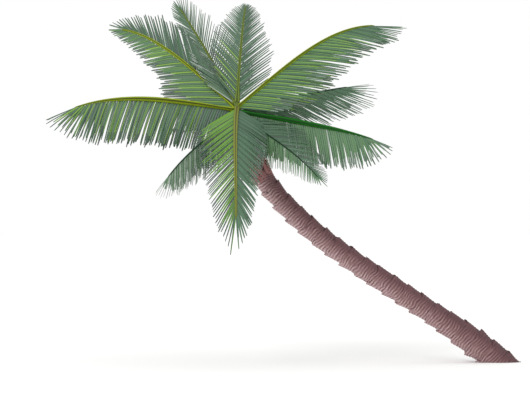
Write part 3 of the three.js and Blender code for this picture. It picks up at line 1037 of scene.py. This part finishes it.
class PALM_OT_trunk(bpy.types.Operator):
    """Build the trunk with the relief of its bark"""
    bl_idname = "palm.trunk"
    bl_label = "Trunk"

    def execute(self, context):
        sizes = context.scene.palm_trunk
        shell = bmesh.new()
        straight = shell.verts.layers.float_vector.new("straight")
        relief = shell.verts.layers.float.new("ridge")

        def place(point, around, along):
            angle = 2 * pi * around
            distance, radius = bark_point(sizes, angle, along)
            point[straight] = Vector((cos(angle), sin(angle), distance))
            point[relief] = ridge(sizes, angle, distance)
            centre, _, left, up = TRUNK_ARCH.frame(distance / TRUNK["length"])
            return centre + (left * cos(angle) + up * sin(angle)) * radius

        roll_up(shell, sizes.columns, sizes.rows, place)
        everything = shell.verts[:] + shell.edges[:] + shell.faces[:]
        bmesh.ops.bisect_plane(shell, geom=everything, dist=ON_CUT, plane_co=(0, 0, 0),
                               plane_no=(0, 0, -1), clear_outer=True)
        mesh = close_up(shell, "trunk_bark", bark_material(context.scene.palm_colours))
        show("trunk_bark", mesh, BARK_SLOT, "trunk")
        return {"FINISHED"}


class PALM_OT_ribs(bpy.types.Operator):
    """Build the rib of every frond"""
    bl_idname = "palm.ribs"
    bl_label = "Ribs"

    def execute(self, context):
        sizes = context.scene.palm_frond
        colours = context.scene.palm_colours
        finishes = {
            "olive": rib_material("olive rib", colours.olive, colours.olive_corner_shade),
            "moss": rib_material("moss rib", colours.moss, colours.moss_dark_and_corner_shade),
            "straw": rib_material("straw rib", colours.straw, colours.straw_corner_shade),
            "bottle": rib_material("bottle green rib", colours.bottle, colours.bottle_corner_shade),
            "pitch": rib_material("blackish rib", colours.pitch, colours.pitch_corner_shade),
        }
        for name, frond in FRONDS.items():
            arch = frond_arch(frond)
            mesh = close_up(rib_shell(sizes, arch), f"{name}_rib", finishes[arch.shape["finish"]])
            show(f"{name}_rib", mesh, LEAF_SLOT, *nodes_of(name))
        return {"FINISHED"}


class PALM_OT_leaflets(bpy.types.Operator):
    """Grow the leaflets of every frond"""
    bl_idname = "palm.leaflets"
    bl_label = "Leaflets"

    def execute(self, context):
        scene = context.scene
        materials = [leaf_material(f"{tone} leaflet", tuple(getattr(scene.palm_colours, tone)))
                     for tone in TONE_ORDER]
        for name, frond in FRONDS.items():
            sheaf = grow_leaflets(scene.palm_frond, scene.palm_trunk, name, frond)
            if not sheaf.faces:
                raise RuntimeError(f"the frond {name} has no leaflets")
            mesh = sheaf.mesh(f"{name}_leaflets", materials)
            show(f"{name}_leaflets", mesh, LEAF_SLOT, *nodes_of(name))
        return {"FINISHED"}


class PALM_OT_fibres(bpy.types.Operator):
    """Lay torn fibres of old leaf sheaths round the trunk under the crown"""
    bl_idname = "palm.fibres"
    bl_label = "Fibres"

    def execute(self, context):
        sheaf = lay_fibres(context.scene.palm_trunk)
        mesh = sheaf.mesh("crown_fibres", [fibre_material(context.scene.palm_colours.fibre)])
        show("crown_fibres", mesh, BARK_SLOT, "trunk")
        return {"FINISHED"}


GROUPS = {
    "palm_trunk": PalmTrunkSettings,
    "palm_frond": PalmFrondSettings,
    "palm_colours": PalmColours,
    "palm_stage": PalmStageSettings,
}
OPERATORS = (PALM_OT_stage, PALM_OT_trunk, PALM_OT_ribs, PALM_OT_leaflets, PALM_OT_fibres)


class PALM_PT_panel(bpy.types.Panel):
    """The palm's sizes, colours and pieces"""
    bl_idname = "PALM_PT_panel"
    bl_label = "Coconut palm"
    bl_space_type = "VIEW_3D"
    bl_region_type = "UI"
    bl_category = "Palm"

    def draw(self, context):
        for operator in OPERATORS:
            self.layout.operator(operator.bl_idname)
        for group in GROUPS:
            settings = getattr(context.scene, group)
            box = self.layout.box()
            for name in settings.bl_rna.properties.keys():
                if name not in {"rna_type", "name"}:
                    box.prop(settings, name)


CLASSES = (*GROUPS.values(), *OPERATORS, PALM_PT_panel)


def register():
    for cls in CLASSES:
        bpy.utils.register_class(cls)
    for name, group in GROUPS.items():
        setattr(bpy.types.Scene, name, PointerProperty(type=group))


def unregister():
    for name in GROUPS:
        delattr(bpy.types.Scene, name)
    for cls in reversed(CLASSES):
        bpy.utils.unregister_class(cls)


def main():
    register()
    bpy.ops.palm.stage()
    bpy.ops.palm.trunk()
    bpy.ops.palm.ribs()
    bpy.ops.palm.leaflets()
    bpy.ops.palm.fibres()


if __name__ == "__main__":
    main()
